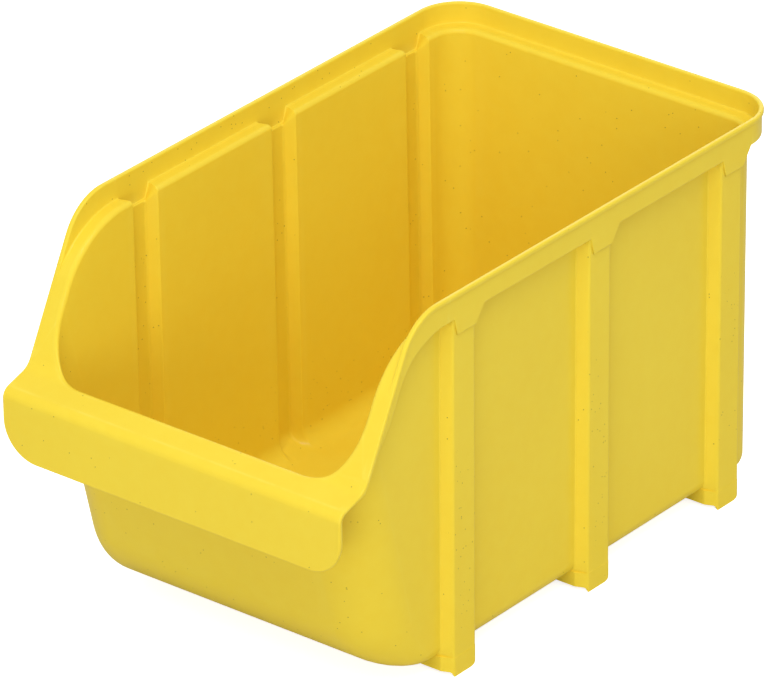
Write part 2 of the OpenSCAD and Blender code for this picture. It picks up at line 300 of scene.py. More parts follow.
class SideView:
    """Side view of the bin: the heights of the rim and of the ledge along its depth."""

    # lengths over which the flange and the lip take on their thickness, and the band its height
    FLANGE_EASE = 30.0
    LIP_EASE = 12.0
    BAND_LOW_EASE = 14.0
    BAND_HIGH_EASE = 20.0

    def __init__(self, size: BinSizes) -> None:
        """Work out the points where the straight runs and the curves meet.

        Args:
            size: sizes of the bin.
        """
        s = size
        self.s = s
        self.slope_y = s.rim_curve_y - s.rim_curve_r * math.sin(s.slope)
        self.slope_z = s.rim_z - s.rim_curve_r + s.rim_curve_r * math.cos(s.slope)
        top_y = self.slope_y + (s.ledge_z - self.slope_z) / math.tan(s.slope)
        self.ledge_y = top_y + s.ledge_curve_r * math.tan(s.slope / 2)
        self.ledge_end_y = self.ledge_y - s.ledge_curve_r * math.sin(s.slope)
        reach = s.hollow_r * math.tan((s.slope - s.lip_fall) / 2)
        self.hollow_y0 = s.hollow_y - reach * math.cos(s.lip_fall)
        self.hollow_y1 = s.hollow_y + reach * math.cos(s.slope)
        self.hollow_cy = self.hollow_y0 - s.hollow_r * math.sin(s.lip_fall)
        self.hollow_cz = (s.hollow_z - reach * math.sin(s.lip_fall)
                          + s.hollow_r * math.cos(s.lip_fall))
        self.nose_y = s.y_front + s.nose_r
        self.nose_z = (s.hollow_z - (s.hollow_y - self.nose_y) * math.tan(s.lip_fall)
                       - s.nose_r / math.cos(s.lip_fall))
        self.lip_end_y = self.nose_y - s.nose_r * math.sin(s.lip_fall)

    def low(self, y: float) -> float:
        """Height of the slope, the hollow corner and the lip, which the rim and the ledge share.

        Args:
            y: depth.

        Returns:
            The height.
        """
        s = self.s
        if y >= self.hollow_y1:
            return s.hollow_z + (y - s.hollow_y) * math.tan(s.slope)
        if y <= self.hollow_y0:
            return s.hollow_z + (y - s.hollow_y) * math.tan(s.lip_fall)
        return self.hollow_cz - math.sqrt(max(s.hollow_r ** 2 - (y - self.hollow_cy) ** 2, 0.0))

    def rim(self, y: float) -> float:
        """Height of the top edge at depth y.

        Args:
            y: depth.

        Returns:
            The height.
        """
        s = self.s
        if y >= s.rim_curve_y:
            return s.rim_z
        if y >= self.slope_y:
            return s.rim_z - s.rim_curve_r + math.sqrt(s.rim_curve_r ** 2 - (y - s.rim_curve_y) ** 2)
        return self.low(y)

    def ledge(self, y: float) -> float:
        """Height of the top of the ledge at depth y.

        Args:
            y: depth.

        Returns:
            The height.
        """
        s = self.s
        if y >= self.ledge_y:
            return s.ledge_z
        if y >= self.ledge_end_y:
            return (s.ledge_z - s.ledge_curve_r
                    + math.sqrt(s.ledge_curve_r ** 2 - (y - self.ledge_y) ** 2))
        return self.low(y)

    @staticmethod
    def steepness(curve: Callable[[float], float], y: float) -> float:
        """Rise of a curve for one unit of depth."""
        probe = 0.05
        return (curve(y + probe) - curve(y - probe)) / (2 * probe)

    def stretch(self, y: float) -> float:
        """Length along the ledge for one unit of depth."""
        return math.sqrt(1 + self.steepness(self.ledge, y) ** 2)

    def sheet(self, y: float) -> float:
        """Thickness of the ledge sheet.

        Args:
            y: depth.

        Returns:
            The thickness, which changes from the wall to the flange to the lip.
        """
        rise = smooth((self.ledge_y - y) / self.FLANGE_EASE)
        fall = smooth((self.hollow_y1 - y) / self.LIP_EASE)
        return mix(mix(self.s.wall, self.s.flange_t, rise), self.s.lip_t, fall)

    def under(self, y: float) -> float:
        """Height of the underside of the ledge at depth y."""
        return self.ledge(y) - self.sheet(y) * self.stretch(y)

    def rim_normal(self, y: float) -> tuple[float, float]:
        """Direction away from the top edge in the side view.

        Args:
            y: depth.

        Returns:
            Its parts along the depth and upwards.
        """
        d = self.steepness(self.rim, y)
        k = math.sqrt(1 + d * d)
        return -d / k, 1 / k

    def depth_to(self, y: float, curve: Callable[[float], float], extra: float = 0.0) -> float:
        """Distance from the top edge down to another curve.

        Args:
            y: depth at which the top edge is left.
            curve: height of the other curve at a depth.
            extra: how much lower than the curve to go.

        Returns:
            The distance, measured square to the top edge.
        """
        ny, nz = self.rim_normal(y)
        z = self.rim(y)
        if z - curve(y) < 1e-6 and extra == 0.0:
            return 0.0
        return bisect(lambda h: (z - nz * h) - (curve(y - ny * h) - extra), 0.0, 40.0)


@dataclass
class Column:
    """One line up the wall. The fields say where it stands on the way round the bin."""

    kind: str
    t: float = 0.0
    y_out: float = 0.0
    y_in: float = 0.0
    bulge_out: float = 0.0
    bulge_in: float = 0.0
    edge_y: Optional[float] = None
    lip_x: float = 0.0
    phi: float = 0.0
    part: str = ""

    @property
    def rib(self) -> float:
        """How far this column is up onto a rib, from 0 to 1."""
        return 0.5 * (self.bulge_out + self.bulge_in)


class WallShape:
    """Plan of the body at every height, for both skins."""

    def __init__(self, size: BinSizes) -> None:
        """Keep the sizes."""
        self.s = size

    def half_width(self, skin: Skin, z: float, rib: float = 0.0) -> float:
        """Half width of the body at a height.

        Args:
            skin: which face of the wall.
            z: height.
            rib: 1 on a rib, 0 on a flat wall.

        Returns:
            The half width with the draft, the rounded bottom edge and the rib.
        """
        s = self.s
        x = mix(s.wall_x_low, s.wall_x_high, min(max((z - s.floor_z) / s.draft_h, 0.0), 1.0))
        if skin is Skin.OUTER:
            r, base = mix(s.bottom_r, s.rib_bottom_r, rib), s.floor_z
            total = s.bottom_r + rib * s.rib_depth
        else:
            x -= s.wall
            r, base = mix(s.bottom_r_in, s.rib_bottom_r_in, rib), s.floor_z + s.wall
            total = s.bottom_r_in + rib * s.rib_depth
        x += rib * s.rib_depth
        if z < base + r:
            x -= total * (1 - math.sqrt(max(1 - (1 - max(z - base, 0.0) / r) ** 2, 0.0)))
        return x

    def front(self, skin: Skin, z: float) -> float:
        """Depth of the front wall and its sweep at a height.

        Args:
            skin: which face of the wall.
            z: height.

        Returns:
            The depth.
        """
        s = self.s
        t = s.wall if skin is Skin.INNER else 0.0
        r = s.sweep_r - t
        if z < s.sweep_z - r * math.sin(s.lean):
            return s.sweep_y - math.sqrt(max(r * r - (s.sweep_z - z) ** 2, 0.0))
        return s.lean_y - (z - s.lean_z) * math.tan(s.lean) + t / math.cos(s.lean)

    def corner(self, skin: Skin, z: float) -> float:
        """Plan radius of the front corner.

        Args:
            skin: which face of the wall.
            z: height.

        Returns:
            The full radius, or less where the sweep leaves less room ahead of the first rib.
        """
        s = self.s
        full = s.corner_r - (s.wall if skin is Skin.INNER else 0.0)
        room = s.rib_y[0] - s.rib_run - s.corner_gap - self.front(skin, z)
        gap = (full - room) / s.corner_ease
        # past 20 the soft step equals its own straight part
        return full - s.corner_ease * (gap if gap > 20.0 else math.log1p(math.exp(gap)))

    def point(self, skin: Skin, col: Column, z: float) -> np.ndarray:
        """Point of the wall in a column.

        Args:
            skin: which face of the wall.
            col: the column.
            z: height.

        Returns:
            The point.
        """
        s = self.s
        rib = col.bulge_out if skin is Skin.OUTER else col.bulge_in
        x = self.half_width(skin, z, rib)
        if col.kind in ("front", "corner", "side"):
            f, r = self.front(skin, z), self.corner(skin, z)
            if col.kind == "front":
                return np.array([col.t * (x - r), f, z])
            if col.kind == "corner":
                return np.array([x - r + r * math.sin(col.t), f + r - r * math.cos(col.t), z])
            return np.array([x, mix(f + r, col.y_out, col.t), z])
        if col.kind == "wall":
            return np.array([x, col.y_out if skin is Skin.OUTER else col.y_in, z])
        cx, cy = s.half_width - s.rim_corner_r, s.y_back - s.rim_corner_r
        r = x - cx
        if col.kind == "back_corner":
            return np.array([cx + r * math.cos(col.t), cy + r * math.sin(col.t), z])
        return np.array([cx * (1 - col.t), cy + r, z])


class Sheet:
    """The two-skinned sheet with its rounded free edges, for the right half of the bin."""

    # spans of a column: up the sweep, up the wall, round the bend and out over the ledge
    SWEEP = 18
    WALL = 9
    BEND = 5
    LEDGE = 12
    # spans of what hangs from the lip: the nose and the apron
    NOSE = 8
    APRON = 5
    # columns: flat front, front corner and its share below the flat lip, slope, back corner, back
    FLAT = 10
    TURN = 18
    TURN_FLAT = 6
    SLOPE = 26
    BACK_TURN = 14
    BACK = 8
    # the extra column on half of a rib's face stands at this share of it
    RIB_FACE = 0.62
    # heights between which every wall meets the ledge
    MEET = (90.0, 205.0)
    # weight that makes the bend round where the wall and the ledge are square to each other
    ROUND = 0.7071

    def __init__(self, size: BinSizes) -> None:
        """Lay out the columns and work out every point.

        Args:
            size: sizes of the bin.
        """
        self.s = size
        self.view = SideView(size)
        self.shape = WallShape(size)
        self.columns = self.lay_out()
        self.fan = next(i for i, c in enumerate(self.columns) if c.part == "lip_side")
        self.points: list[np.ndarray] = []
        self.cells: dict[str, list[tuple]] = {}
        self.build()

    def lay_out(self) -> list[Column]:
        """Lay out the columns from the centre of the front to the centre of the back.

        Returns:
            The columns in order.
        """
        s, v = self.s, self.view
        cols = [Column("front", t=k / self.FLAT, lip_x=k / self.FLAT * s.lip_flat, part="front")
                for k in range(self.FLAT)]
        edge_c = s.half_width - s.apron_corner_r
        for k in range(self.TURN):
            lip_x, phi = mix(s.lip_flat, edge_c, k / self.TURN_FLAT), 0.0
            if k >= self.TURN_FLAT:
                phi = RIGHT_ANGLE * (k - self.TURN_FLAT) / (self.TURN - self.TURN_FLAT)
                lip_x = edge_c + (s.apron_corner_r - s.edge_in) * math.sin(phi)
            cols.append(Column("corner", t=math.radians(s.fan_degrees) * k / self.TURN, lip_x=lip_x,
                               phi=phi, part="corner"))
        # columns that end on the side edge of the lip, the hollow corner and the slope
        side_end = self.meet_y(Column("corner", t=RIGHT_ANGLE), Skin.INNER)
        ys = [v.lip_end_y, *s.lip_side_y]
        ys += [mix(v.hollow_y0 - 0.6, v.hollow_y1 + 0.6, k / 9) for k in range(10)]
        ys += [mix(v.hollow_y1, side_end, q) for q in (0.35, 0.7)]
        for k, y in enumerate(ys):
            turn = math.radians(mix(s.fan_degrees, 90.0, (k / len(ys)) ** 0.9))
            cols.append(Column("corner", t=turn, edge_y=y, lip_x=s.half_width - s.edge_in,
                               phi=RIGHT_ANGLE, part="lip_side"))
        first = s.rib_y[0] - s.rib_run
        cols += [Column("side", t=k / self.SLOPE, y_out=first, y_in=first, part="slope")
                 for k in range(self.SLOPE)]
        for i, centre in enumerate(s.rib_y):
            cols.extend(self.rib_columns(centre, i))
            last = i == len(s.rib_y) - 1
            start = centre + s.rib_run
            stop = s.y_back - s.rim_corner_r if last else s.rib_y[i + 1] - s.rib_run
            # one more column stands on the rear end of the tab, just behind the rib
            flat = [*np.linspace(start, stop, 3 if last else 7)[:-1], centre + s.tab_rear]
            cols += [Column("wall", y_out=float(y), y_in=float(y), part=f"panel_{i + 2}") for y in flat]
        cols.sort(key=lambda c: c.y_out if c.kind == "wall" else -math.inf)
        cols += [Column("back_corner", t=RIGHT_ANGLE * k / self.BACK_TURN, part="back_corner")
                 for k in range(self.BACK_TURN)]
        cols += [Column("back", t=k / self.BACK, part="back") for k in range(self.BACK + 1)]
        return cols

    def rib_columns(self, centre: float, index: int) -> list[Column]:
        """Return the columns over one rib.

        Args:
            centre: depth of the middle of the rib.
            index: 0 for the front rib.

        Returns:
            Columns from the near end of the rib's run to just before its far end.
        """
        s = self.s
        paths = []
        for half in (s.rib_half_out, s.rib_half_in):
            foot, face = half + s.rib_flare, half * self.RIB_FACE
            left = rounded_path([(-s.rib_run, 0.0), (-foot, 0.0), (-half, s.rib_depth), (0.0, s.rib_depth)],
                                [s.rib_foot_r, s.rib_edge_r], 4)
            right = [(face, s.rib_depth), *((-y, b) for y, b in left[-2::-1])]
            paths.append(np.array([*left[:-1], (-face, s.rib_depth), left[-1], *right]))
        out, inn = paths
        # three columns stand on corners of the tab, so that its outline is crisp
        edges = out[:, 0].copy()
        for corner in (-s.rib_half_out, s.tab_lead - s.rib_half_out, s.rib_half_out):
            edges[np.argmin(np.abs(out[:, 0] - corner))] = corner
        return [Column("wall", y_out=centre + a, y_in=centre + b, bulge_out=u / s.rib_depth,
                       bulge_in=w / s.rib_depth, edge_y=centre + edge, part=f"rib_{index + 1}")
                for (a, u), (b, w), edge in zip(out[:-1], inn[:-1], edges)]

    def tab(self, y: float) -> float:
        """How far the lower edge of the rim drops over a rib.

        Args:
            y: depth.

        Returns:
            A share from 0 to 1.
        """
        s = self.s
        for centre in s.rib_y:
            front, rear = y - centre + s.rib_half_out, s.tab_rear - (y - centre)
            if front > 0.0 and rear > 0.0:
                return min(front / s.tab_lead, rear / s.tab_trail, 1.0)
        return 0.0

    @staticmethod
    def on_rib(bulge: float) -> float:
        """Eased share of the way up onto a rib, which is 1 just before its face."""
        return smooth(bulge * 1.02)

    def meet(self, col: Column, skin: Skin) -> float:
        """Height at which a column's wall meets the ledge surface or its underside.

        Args:
            col: the column.
            skin: the inner skin meets the surface, the outer one the underside.

        Returns:
            The height.
        """
        curve = self.view.ledge if skin is Skin.INNER else self.view.under
        z = bisect(lambda h: curve(self.shape.point(skin, col, h)[1]) - h, *self.MEET)
        if col.kind == "wall":
            z -= self.drop(col, skin) * self.on_rib(col.bulge_out if skin is Skin.OUTER else col.bulge_in)
        return z

    def drop(self, col: Column, skin: Skin) -> float:
        """How far the ledge steps down where a column crosses a rib.

        Args:
            col: the column.
            skin: the outer skin drops behind the tab, the inner one across the groove.

        Returns:
            The drop.
        """
        if skin is Skin.OUTER:
            return self.s.tab_drop * self.tab(col.y_out if col.edge_y is None else col.edge_y)
        return self.s.shelf_drop * self.on_rib(col.bulge_in)

    def meet_y(self, col: Column, skin: Skin) -> float:
        """Depth at which a column's wall meets the ledge surface."""
        return float(self.shape.point(skin, col, self.meet(col, skin))[1])

    def edge_frame(self, col: Column, y: float) -> tuple[np.ndarray, np.ndarray, np.ndarray]:
        """Corner, inward and upward directions of the free edge in a column.

        Args:
            col: the column.
            y: depth of the edge, used on the straight sides only.

        Returns:
            The outermost point at the top, the way in towards the bin, and the way up.
        """
        s = self.s
        if col.kind in ("back_corner", "back"):
            cx, cy = s.half_width - s.rim_corner_r, s.y_back - s.rim_corner_r
            if col.kind == "back":
                return (np.array([cx * (1 - col.t), s.y_back, s.rim_z]), np.array([0.0, -1, 0]),
                        np.array([0.0, 0, 1]))
            d = np.array([math.cos(col.t), math.sin(col.t), 0.0])
            return np.array([cx, cy, s.rim_z]) + d * s.rim_corner_r, -d, np.array([0.0, 0, 1])
        ny, nz = self.view.rim_normal(y)
        return (np.array([s.half_width, y, self.view.rim(y)]), np.array([-1.0, 0, 0]),
                np.array([0.0, ny, nz]))

    def section(self, height: float, inner: float, out_at: float, in_at: float, root: float,
                bead: float) -> np.ndarray:
        """Section of a free edge, from the underside round the outside to the top.

        Args:
            height: height of the outer face.
            inner: height of the inner face, 0 where there is none.
            out_at: inset at which the edge joins the outer skin.
            in_at: inset at which the edge joins the inner skin.
            root: radius between the inner face and the ledge.
            bead: how far the bead stands out.

        Returns:
            Rows of inset and height below the top.
        """
        s = self.s
        low, r, face = s.rim_low_r, s.rim_top_r, s.rim_face
        line = min(s.bead_h, height - low - 0.1)
        # each rounding of the inner face takes less than half of it
        most = inner * 0.45
        r2, r3 = min(r, most), min(root, most)
        step = -line - 0.1
        return np.array([
            (out_at, -height), *quarter(bead + low, low - height, low, -1, -1, 3),
            (bead, mix(low - height, step, 0.5)), (bead, step), (bead * 0.8, -line + 0.05),
            (bead * 0.2, -line + 0.2), (0.0, -line + 0.45), *quarter(r, -r, r, 2, -1, 4),
            *quarter(face - r2, -r2, r2, 1, -1, 3), (face, mix(-r2, r3 - inner, 0.5)),
            *quarter(face + r3, r3 - inner, r3, 2, 1, 3), (in_at, -inner)])

    def ring(self, col: Column, y: float) -> np.ndarray:
        """Points of the free edge in a column of the sides or the back.

        Args:
            col: the column.
            y: depth of the edge.

        Returns:
            The points, from the underside round the outside to the top.
        """
        s, v = self.s, self.view
        corner, way_in, up = self.edge_frame(col, y)
        rib = smooth(col.rib)
        if col.kind in ("back_corner", "back"):
            height, inner = s.rim_z - s.ledge_z + s.wall, s.rim_z - s.ledge_z
            slack = 0.0
        else:
            inner = v.depth_to(y, v.ledge, self.drop(col, Skin.INNER))
            height = v.depth_to(y, v.under, self.drop(col, Skin.OUTER))
            slack = smooth((v.ledge_y - y) / v.FLANGE_EASE)
            # down the slope the outer face keeps a narrow band, which runs out at the hollow corner
            band = (s.slope_band_h * smooth((y - v.hollow_y1) / v.BAND_LOW_EASE)
                    * smooth((v.ledge_y - y) / v.BAND_HIGH_EASE))
            height = (height ** 4 + band ** 4) ** 0.25
        sec = self.section(height, inner, mix(mix(*s.out_join, rib), s.edge_in, slack),
                           mix(mix(*s.in_join, rib), s.edge_in, slack), mix(*s.ledge_root_r, rib),
                           s.bead_out)
        return corner + sec[:, :1] * way_in + sec[:, 1:] * up

    def ledge_line(self, skin: Skin, start: np.ndarray, stop: np.ndarray, t: float) -> np.ndarray:
        """Point part of the way from the wall to the free edge, on the ledge surface.

        Args:
            skin: which face of the ledge.
            start: where the wall ends.
            stop: where the free edge starts.
            t: share of the way.

        Returns:
            The point.
        """
        p = mix(start, stop, t)
        curve = self.view.ledge if skin is Skin.INNER else self.view.under
        z0, z1 = curve(start[1]), curve(stop[1])
        p[2] = curve(p[1]) + mix(start[2] - z0, stop[2] - z1, t)
        return p

    def build(self) -> None:
        """Work out both skins and all free edges, and list the cells of each feature."""
        s, v, cols = self.s, self.view, self.columns
        rings: dict[int, np.ndarray] = {}
        ends = {Skin.OUTER: [], Skin.INNER: []}
        starts = {Skin.OUTER: [], Skin.INNER: []}
        for i, col in enumerate(cols):
            for skin in Skin:
                z = self.meet(col, skin)
                starts[skin].append(self.shape.point(skin, col, z))
            if i < self.fan:
                t = v.sheet(v.lip_end_y)
                dy, dz = -math.sin(s.lip_fall), math.cos(s.lip_fall)
                top = np.array([col.lip_x, v.lip_end_y, v.ledge(v.lip_end_y)])
                ends[Skin.INNER].append(top)
                ends[Skin.OUTER].append(top - np.array([0, dy, dz]) * t)
                continue
            y = col.edge_y
            if y is None:
                y = starts[Skin.INNER][-1][1]
                if col.kind == "side":
                    # the edge keeps level with the wall where the ledge lies below the rim
                    y = bisect(lambda q: q - v.rim_normal(q)[0] * v.depth_to(q, v.ledge) - y,
                               y - 25.0, y + 1.0)
            rings[i] = self.ring(col, y)
            ends[Skin.OUTER].append(rings[i][0])
            ends[Skin.INNER].append(rings[i][-1])
        grid = {skin: self.skin_grid(skin, starts[skin], ends[skin]) for skin in Skin}
        self.number(grid, rings)

    def skin_grid(self, skin: Skin, starts: list[np.ndarray], ends: list[np.ndarray]) -> np.ndarray:
        """Points of one skin up to the free edge.

        Args:
            skin: which skin.
            starts: where the wall meets the ledge in each column.
            ends: where the ledge meets the free edge in each column.

        Returns:
            Array of columns by levels by 3.
        """
        s, cols = self.s, self.columns
        n = len(cols)
        t = s.wall if skin is Skin.INNER else 0.0
        r_sweep = s.sweep_r - t
        top_a = 0.5 * math.pi - s.lean
        line = np.array(starts)
        rows = []
        for i, col in enumerate(cols):
            along = unit(line[min(i + 1, n - 1)] - line[max(i - 1, 0)])
            e, stop = starts[i], ends[i]
            rib = smooth(col.bulge_out if skin is Skin.OUTER else col.bulge_in)
            flat = np.linalg.norm((stop - e)[:2])
            radius = mix(*s.ledge_fillet_r, rib if skin is Skin.INNER else 1.0)
            radius = min(radius, flat * 0.42)
            # the bend leaves the wall and reaches the ledge along these two ways
            down = unit(self.shape.point(skin, col, e[2] - 1.0) - e)
            out = unit(self.ledge_line(skin, e, stop, min(0.5, flat * 0.2) / flat) - e)
            lift = 1.0 if col.kind == "wall" and rib > 0.02 else slant(down, along, 0.35)
            drift = slant(out, along, 0.5)
            z_bend = e[2] - radius * lift * abs(down[2])
            t_bend = min(radius * drift * np.linalg.norm(out[:2]) / flat, 0.45)
            pts = []
            for k in range(self.SWEEP + 1):
                a_k = top_a * k / self.SWEEP
                pts.append(self.shape.point(skin, col, s.floor_z + t + r_sweep * (1 - math.cos(a_k))))
            z0 = pts[-1][2]
            for k in range(1, self.WALL):
                pts.append(self.shape.point(skin, col, mix(z0, z_bend, k / self.WALL)))
            p0 = self.shape.point(skin, col, z_bend)
            p2 = self.ledge_line(skin, e, stop, t_bend)
            pts.extend(conic(p0, e, p2, self.ROUND, self.BEND))
            for k in range(1, self.LEDGE + 1):
                pts.append(self.ledge_line(skin, e, stop, mix(t_bend, 1.0, k / self.LEDGE)))
            pts[-1] = stop
            rows.append(np.array(pts))
        return np.array(rows)

    def number(self, grid: dict[Skin, np.ndarray], rings: dict[int, np.ndarray]) -> None:
        """Number all points and list the cells of each feature.

        Args:
            grid: points of both skins up to the free edge.
            rings: section of the free edge for each column of the sides and the back.
        """
        s, v, cols = self.s, self.view, self.columns
        n, levels = grid[Skin.OUTER].shape[:2]
        pts = self.points

        def add(p: np.ndarray) -> int:
            """Number a point."""
            pts.append(np.array(p, float))
            return len(pts) - 1

        def strip(pair: tuple[int, int], edge: np.ndarray) -> tuple[int, ...]:
            """Number a free edge between the two points of the skins that it joins."""
            return (pair[0], *[add(p) for p in edge[1:-1]], pair[1])

        def put(name: str, *cell: object) -> None:
            """List a cell under its feature."""
            self.cells.setdefault(name, []).append(cell)

        node = {(i, j): (add(grid[Skin.OUTER][i, j]), add(grid[Skin.INNER][i, j]))
                for i in range(n) for j in range(levels)}
        ring_ids = {i: strip(node[i, levels - 1], r) for i, r in rings.items()}
        # nose and apron, which hang from the lip in the columns before the fan
        t = v.sheet(v.lip_end_y)
        hang = {}
        low_r = s.apron_corner_r - s.edge_in
        steps = self.NOSE + self.APRON
        for i in range(self.fan + 1):
            hang[i, 0] = node[i, levels - 1]
            c = cols[i]
            z_low = s.apron_z + s.apron_corner_r - low_r * math.cos(c.phi)
            for k in range(1, steps + 1):
                a = mix(s.lip_fall, RIGHT_ANGLE, min(k / self.NOSE, 1.0))
                if k <= self.NOSE:
                    y, z = v.nose_y - s.nose_r * math.sin(a), v.nose_z + s.nose_r * math.cos(a)
                else:
                    y, z = s.y_front, mix(v.nose_z, z_low, (k - self.NOSE) / self.APRON)
                p = np.array([c.lip_x, y, z])
                nrm = np.array([0.0, -math.sin(a), math.cos(a)])
                hang[i, k] = (add(p - nrm * t), add(p))
        sec = self.section(t, 0.0, s.edge_in, s.edge_in, 0.0, s.lip_bead)
        side_ids = {0: ring_ids[self.fan]}
        for k in range(1, steps + 1):
            a = mix(s.lip_fall, RIGHT_ANGLE, min(k / self.NOSE, 1.0))
            nrm = np.array([0.0, -math.sin(a), math.cos(a)])
            base = np.array(pts[hang[self.fan, k][1]])
            base[0] = s.half_width
            side_ids[k] = strip(hang[self.fan, k],
                                base + sec[:, :1] * np.array([-1.0, 0, 0]) + sec[:, 1:] * nrm)
        low_ids = {self.fan: side_ids[steps]}
        for i in range(self.fan):
            d = np.array([math.sin(cols[i].phi), 0.0, -math.cos(cols[i].phi)])
            base = np.array(pts[hang[i, steps][1]]) + d * s.edge_in
            low_ids[i] = strip(hang[i, steps], base - sec[:, :1] * d + sec[:, 1:] * np.array([0.0, -1, 0]))

        for i in range(n - 1):
            for j in range(levels - 1):
                put(self.feature(i, j), "sheet",
                    node[i, j], node[i + 1, j], node[i + 1, j + 1], node[i, j + 1])
            if i >= self.fan:
                put(self.edge_feature(i, "rim"), "edge", ring_ids[i], ring_ids[i + 1])
        for i in range(self.fan):
            for k in range(steps):
                put("front_apron", "sheet", hang[i, k], hang[i + 1, k], hang[i + 1, k + 1], hang[i, k + 1])
            put("front_apron", "edge", low_ids[i], low_ids[i + 1])
        for k in range(steps):
            put("front_apron", "edge", side_ids[k + 1], side_ids[k])
        self.floor_loop = [node[i, 0] for i in range(n)]
        self.centre = {a for k, ab in node.items() if k[0] in (0, n - 1) for a in ab}
        self.centre |= {a for k, ab in hang.items() if k[0] == 0 for a in ab}
        self.centre |= set(low_ids[0]) | set(ring_ids[n - 1])

    def feature(self, i: int, j: int) -> str:
        """Name of the feature that a cell of the sheet belongs to.

        Args:
            i: number of its column.
            j: number of its level.

        Returns:
            The name, without the side of the bin.
        """
        part = self.columns[i].part
        if j >= self.SWEEP + self.WALL + self.BEND:
            return self.edge_feature(i, "ledge")
        if part == "front":
            return "front_sweep" if j < self.SWEEP else "front_wall"
        return {"corner": "front_corner", "lip_side": "front_corner", "slope": "panel_1",
                "back": "back_wall"}.get(part, part)

    def edge_feature(self, i: int, straight: str) -> str:
        """Name of the feature that the ledge or the free edge belongs to in a column.

        Args:
            i: number of the column.
            straight: name of the feature along the straight sides.

        Returns:
            The name, without the side of the bin.
        """
        c = self.columns[i]
        if c.part in ("front", "corner"):
            return "front_lip"
        if c.part == "lip_side":
            return "front_lip" if c.edge_y < self.view.hollow_y1 else "slope_flange"
        if c.part == "slope":
            return "slope_flange"
        return f"{straight}_back" if c.kind in ("back", "back_corner") else straight


@dataclass
class Shell:
    """A closed set of faces with the direction each corner is lit by."""

    faces: list[tuple[int, ...]] = field(default_factory=list)
    is_skin: list[bool] = field(default_factory=list)

    def add(self, ids: tuple[int, ...], skin: bool) -> None:
        """Add a face unless it has collapsed.

        Args:
            ids: its points in order.
            skin: True for a face of the moulding's surface, False for a cut.
        """
        if len(set(ids)) > 2:
            self.faces.append(ids)
            self.is_skin.append(skin)


